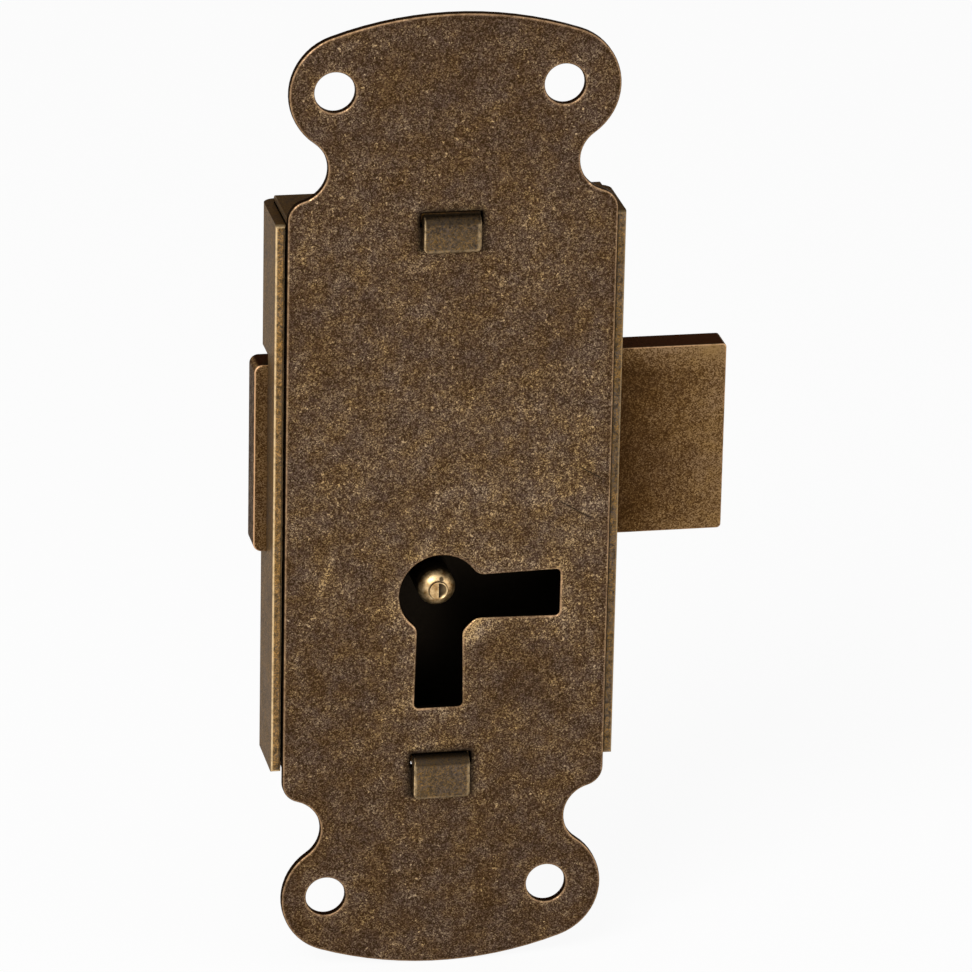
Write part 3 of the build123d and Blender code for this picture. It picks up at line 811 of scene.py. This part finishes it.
bmesh.ops.delete(shape, geom=[v for v in shape.verts if not v.link_faces], context="VERTS")
bmesh.ops.recalc_face_normals(shape, faces=shape.faces)
plate_mesh = bpy.data.meshes.new("cover_plate_rolled")
shape.to_mesh(plate_mesh)
shape.free()
bpy.data.meshes.remove(loose)

corner_data = np.empty(len(plate_mesh.vertices) * 3)
plate_mesh.vertices.foreach_get("co", corner_data)
corner_data = corner_data.reshape(-1, 3)
plate_places = corner_data[:, [0, 2]]
from_front = corner_data[:, 1] - plate_front
keyhole_gap = gap_to(plate_places, evened[1]) / mm
screw_rims = np.concatenate([rim for rim in evened[2:] if abs(rim[:, 0]).max() > 8 * mm])
screw_gap = gap_to(plate_places, screw_rims) / mm


def fall(gap, start, stop):
    """A smooth step down, 1 below start and 0 past stop: 3u^2 - 2u^3 of the way left."""
    left = np.clip((stop - gap) / (stop - start), 0, 1)
    return left * left * (3 - 2 * left)


def away_from(x, z):
    """The distance in mm from each of the plate's corners to one place on its face."""
    return np.linalg.norm(plate_places / mm - (x, z), axis=1)


# keys have rubbed the corner between the keyhole's two legs most of all
halo = 0.42 * fall(keyhole_gap, 0.5, 1.8) + 1.8 * fall(away_from(2.9, -12.7), 0.4, 2.5)
halo = np.maximum(halo, 0.45 * fall(screw_gap, 0.1, 0.9))

# painted light: the plate's middle and right side are painted lighter and its ends and low corners
# darker, as a lamp's falloff across the face
side_mm, height_mm = plate_places.T / mm
painted_light_falloff = np.interp(height_mm, [-42, -33, -26, -8, 4, 17, 24, 34],
                    [-0.42, -0.35, -0.15, 0, 0, -0.22, -0.08, -0.36])
for x, z, wide, high, gain in ((10, 0, 8, 9, 0.25), (-12, -20, 5, 9, -0.25), (6, -17, 5, 5, -0.3)):
    painted_light_falloff += gain * np.exp(-((side_mm - x) / wide) ** 2 - ((height_mm - z) / high) ** 2)

# painted shadow lies above and beside each tab, under a painted highlight along a lip above the
# slot
tab_half_width = 2.63
shadow, painted_lip_highlight = np.zeros(len(plate_places)), np.zeros(len(plate_places))
for x, top, length in ((0.3, 27.1, 3.35), (0.2, -25.3, 4.0)):
    aside = np.maximum(abs(side_mm - x) - tab_half_width, 0)
    above = np.maximum(height_mm - top, 0)
    tab_gap = np.hypot(aside, above)
    beside = height_mm > top - length
    shadow = np.maximum(shadow, 0.9 * fall(tab_gap, 0.15, 0.95) * beside)
    painted_lip_highlight = np.maximum(painted_lip_highlight, fall(abs(tab_gap - 1.0), 0.05, 0.5) * (height_mm > top - 0.6))

# the rolled rims are copper all round the plate, and pale metal is painted as highlight on the
# keyhole's rim at a few spots
outline_gap = gap_to(plate_places, evened[0]) / mm
shadow_line = fall(abs(outline_gap - 0.4), 0.05, 0.2) * (0.3 + 0.3 * (side_mm > 0))
painted_keyhole_highlights = sum(fall(away_from(x, z), 0.4, 2.2)
             for x, z in ((10.9, -11.3), (2.1, -13.7), (-2.4, -12.4), (-2.2, -20.3), (11, -8.5)))
rolled = from_front < rolled_depth * 0.5
bare = 0.52 * fall(outline_gap, 0.08, 0.24) + (0.2 + 0.6 * painted_keyhole_highlights) * fall(keyhole_gap, 0.12, 0.26)
bare += 0.35 * fall(screw_gap, 0.12, 0.26)
short_of_rear = corner_data[:, 1] < plate_high.y - rear_break / 2
side_wall = (from_front > rolled_depth * 0.55) & short_of_rear
# rubbed carries the keyhole's wear, the painted light falloff, the painted lip highlight and the
# painted shadow line; bare carries the rims' wear and the keyhole's painted highlights; dark
# carries the sheared sides' oxide and the painted shadows by the tabs
plate_marks = {
    "rubbed": halo + painted_light_falloff + 0.6 * painted_lip_highlight - shadow_line,
    "bare": np.clip(bare, 0, 1) * rolled,
    "dark": np.maximum(side_wall, shadow),
}
for label, values in plate_marks.items():
    plate_mesh.attributes.new(label, "FLOAT", "POINT").data.foreach_set("value", values)


def scratch(tree, place, start, end, width):
    """1 along a straight scratch: its own axes are laid along it, and it is cut to length."""
    (x0, z0), (x1, z1) = start, end
    length = math.hypot(x1 - x0, z1 - z0) * mm
    turned = add_node(tree, "Mapping", {
        "Vector": place, "Location": ((x0 + x1) / 2 * mm, 0, (z0 + z1) / 2 * mm),
        "Rotation": (0, -math.atan2(z1 - z0, x1 - x0), 0)}, vector_type="TEXTURE")
    size = add_node(tree, "VectorMath", [turned], operation="ABSOLUTE")
    at = add_node(tree, "SeparateXYZ", [size]).outputs
    along = add_node(tree, "MapRange", [at["X"], length / 2, length / 2 - 0.8 * mm])
    across = add_node(tree, "MapRange", [at["Z"], width, 0])
    return add_node(tree, "Math", [along, across], operation="MULTIPLY")


def plate_wear_and_light(tree, place):
    """The marks carried by the mesh, painted light and shade among them, with two light rubs and
    two thin dark scratches.

    Blots half a millimetre wide break up the rims' bare metal, and freckles gathered in
    patches show where the brush has cut the film through.
    """
    rubbed, bare, dark = [
        add_node(tree, "Attribute", attribute_name=label).outputs["Fac"]
        for label in plate_marks]
    freckles = spots(tree, place, 0.45 * mm, 0.59, 0.68, 0, 2)
    gathered = spots(tree, place, 4 * mm, 0.42, 0.58)
    rubbed = add_node(tree, "Math", [freckles, gathered, rubbed], operation="MULTIPLY_ADD")
    for start, end in (((-9.84, -4.3), (-11.63, -9.47)), ((1.74, -0.75), (0.31, -3.88))):
        rub = scratch(tree, place, start, end, 0.45 * mm)
        rubbed = add_node(tree, "Math", [rub, 1.1, rubbed], operation="MULTIPLY_ADD")
    for start, end in (((12.3, 2.6), (15.1, 0.9)), ((10.4, -0.6), (14.2, -2.9))):
        cut = scratch(tree, place, start, end, 0.1 * mm)
        dark = add_node(tree, "Math", [dark, cut], operation="MAXIMUM")
    broken = spots(tree, place, 0.6 * mm, 0.35, 0.6, 0.35, 1)
    bare = add_node(tree, "Math", [bare, broken], operation="MULTIPLY")
    return rubbed, bare, dark


plate_tones = [
    (0.1, "#362612"), (0.34, "#453223"), (0.5, "#564234"), (0.66, "#6b5643"), (0.84, "#8f795c"),
    (1.0, "#caad84")]
plate_finish = antiqued("antiqued_brass_plate", plate_tones, "#d4aa7f", plate_wear_and_light)
plate_mesh.shade_smooth()
plate_mesh.set_sharp_from_angle(angle=math.radians(50))
plate_mesh.materials.append(plate_finish)
plate_piece = bpy.data.objects.new("cover_plate_rolled", plate_mesh)
scene.collection.objects.link(plate_piece)
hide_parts("cover_plate")
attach(plate_piece, "case")


# Studio: the lock stands on a plain pale floor that runs out of sight, under one soft key
# lamp high on the left, a weaker fill on the right and an even white room.
def white_for_rays(tree):
    """1 for rays that see the floor or room directly, in a mirror or through glass."""
    rays = add_node(tree, "LightPath").outputs
    seen = rays["Is Camera Ray"]
    for kind in ("Is Glossy Ray", "Is Transmission Ray"):
        seen = add_node(tree, "Math", [seen, rays[kind]], operation="MAXIMUM")
    return seen


floor_z = cad_box[0][2]
floor_reach = 3.0
floor_mesh = bpy.data.meshes.new("studio_floor")
floor_mesh.from_pydata([
    (-floor_reach, -floor_reach, floor_z), (floor_reach, -floor_reach, floor_z),
    (floor_reach, floor_reach, floor_z), (-floor_reach, floor_reach, floor_z)], [], [(0, 1, 2, 3)])
floor_paper, paper_tree = empty_material("white_paper_floor")
paper = add_node(paper_tree, "BsdfDiffuse", {"Color": linear("#f2f2f2")})
glow = add_node(paper_tree, "Emission", {"Strength": 1.0})
seen = add_node(paper_tree, "Math", [white_for_rays(paper_tree), 0.92], operation="MULTIPLY")
mixed = add_node(paper_tree, "MixShader", [seen, paper, glow])
add_node(paper_tree, "OutputMaterial", {"Surface": mixed})
floor_mesh.materials.append(floor_paper)
floor = bpy.data.objects.new("studio_floor", floor_mesh)
scene.collection.objects.link(floor)

room = bpy.data.worlds.new("white_room")
room.use_nodes = True
room_tree = room.node_tree
room_tree.nodes.clear()
room_light = 0.45
strength = add_node(room_tree, "MapRange", [white_for_rays(room_tree), 0, 1, room_light, 1])
air = add_node(room_tree, "Background", {"Color": (1, 1, 1, 1), "Strength": strength})
add_node(room_tree, "OutputWorld", {"Surface": air})
scene.world = room


def soft_lamp(name, place, size, power):
    """A square area lamp aimed at the lock's middle."""
    lamp = bpy.data.lights.new(name, "AREA")
    lamp.size = size
    lamp.energy = power
    holder = bpy.data.objects.new(name, lamp)
    holder.matrix_world = Matrix.LocRotScale(
        Vector(place), (-Vector(place)).to_track_quat("-Z", "Y"), None)
    scene.collection.objects.link(holder)


soft_lamp("key_lamp", (-0.4, -0.5, 0.5), 0.4, 4.3)
soft_lamp("fill_lamp", (0.6, -0.4, 0.15), 0.5, 0.9)

# a long lens turned to the photograph's view: from the front, a little left and from above
camera_data = bpy.data.cameras.new("camera")
camera_data.lens = 245.15
camera_data.sensor_width = 36
camera_place = Vector((-108.11, -552.27, 213.25)) * mm
camera_right = Vector((0.98124, -0.19181, 0.01957))
camera_up = Vector((0.04975, 0.34995, 0.93545))
camera_back = Vector((-0.18628, -0.91692, 0.35293))
camera = bpy.data.objects.new("camera", camera_data)
turn_matrix = Matrix((camera_right, camera_up, camera_back)).transposed()
camera.matrix_world = Matrix.Translation(camera_place) @ turn_matrix.to_4x4()
camera_data.clip_start = 0.01
scene.collection.objects.link(camera)
scene.camera = camera
scene.view_settings.view_transform = "Standard"
